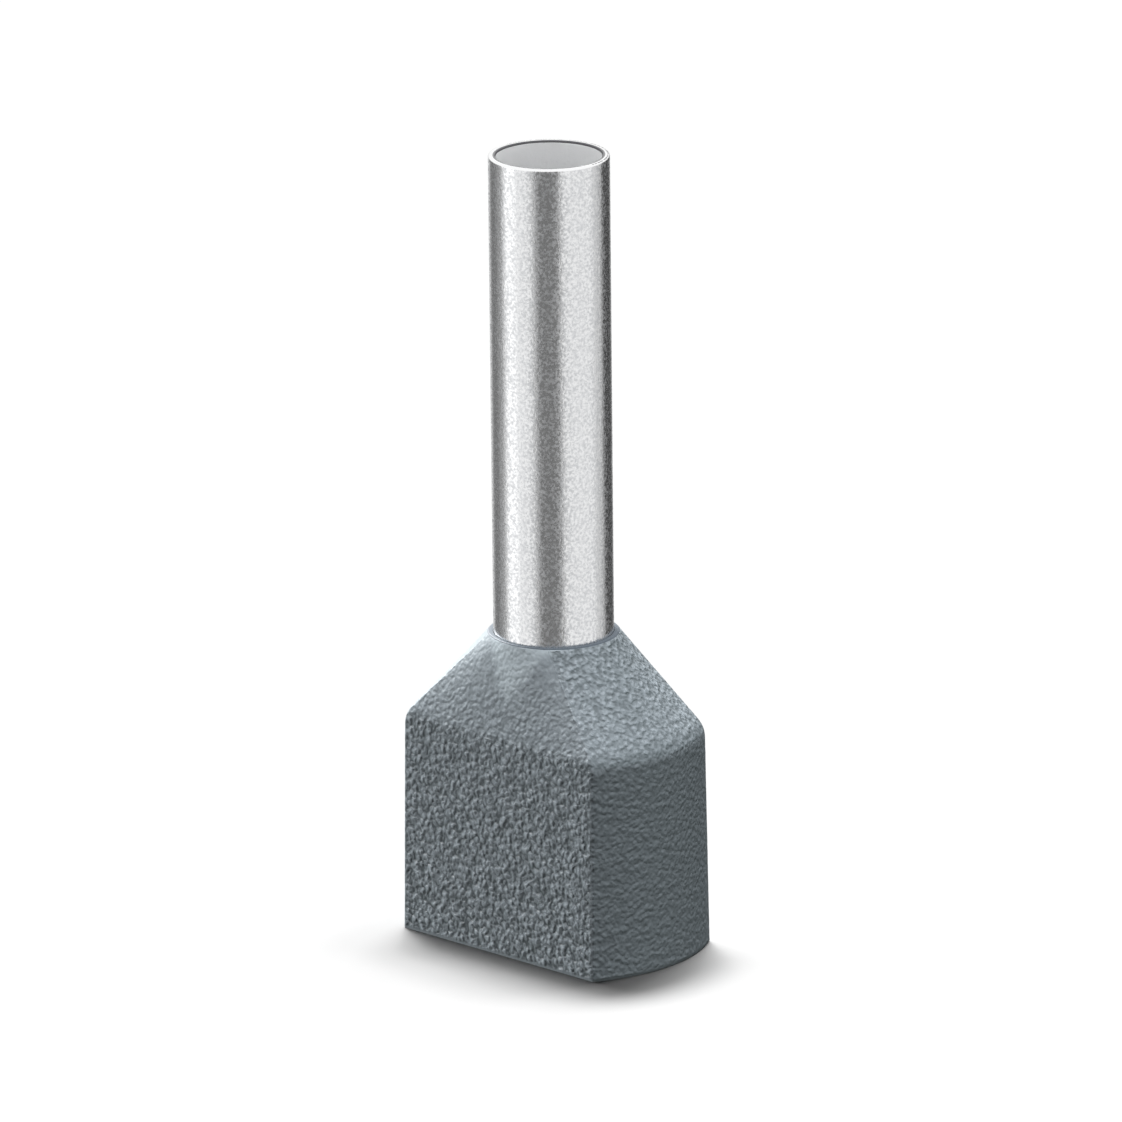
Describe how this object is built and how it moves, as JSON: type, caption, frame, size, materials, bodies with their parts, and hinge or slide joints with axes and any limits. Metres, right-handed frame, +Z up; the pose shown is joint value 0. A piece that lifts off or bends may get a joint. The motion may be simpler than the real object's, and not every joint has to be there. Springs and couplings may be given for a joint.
{
  "type": "wire ferrule",
  "caption": "Twin wire-end sleeve: a thin tinned tube held in the neck of a grey moulded collar with an oblong mouth, bowed ends and sloping shoulders, crimped onto a pair of stranded wires.",
  "frame": {"origin": "centre of the collar's mouth, on the surface that the ferrule stands on", "axes": "+Z up the sleeve towards its open tip, X along the wide side of the collar, Y across its narrow depth"},
  "size_m": [0.0082, 0.0046, 0.0215],
  "materials": {
    "tinned_copper": "satin tin plating",
    "grey_plastic": "fine spark-eroded grain"
  },
  "bodies": {
    "root": {"sleeve": "tinned_copper", "collar": "grey_plastic"}
  },
  "joints": []
}
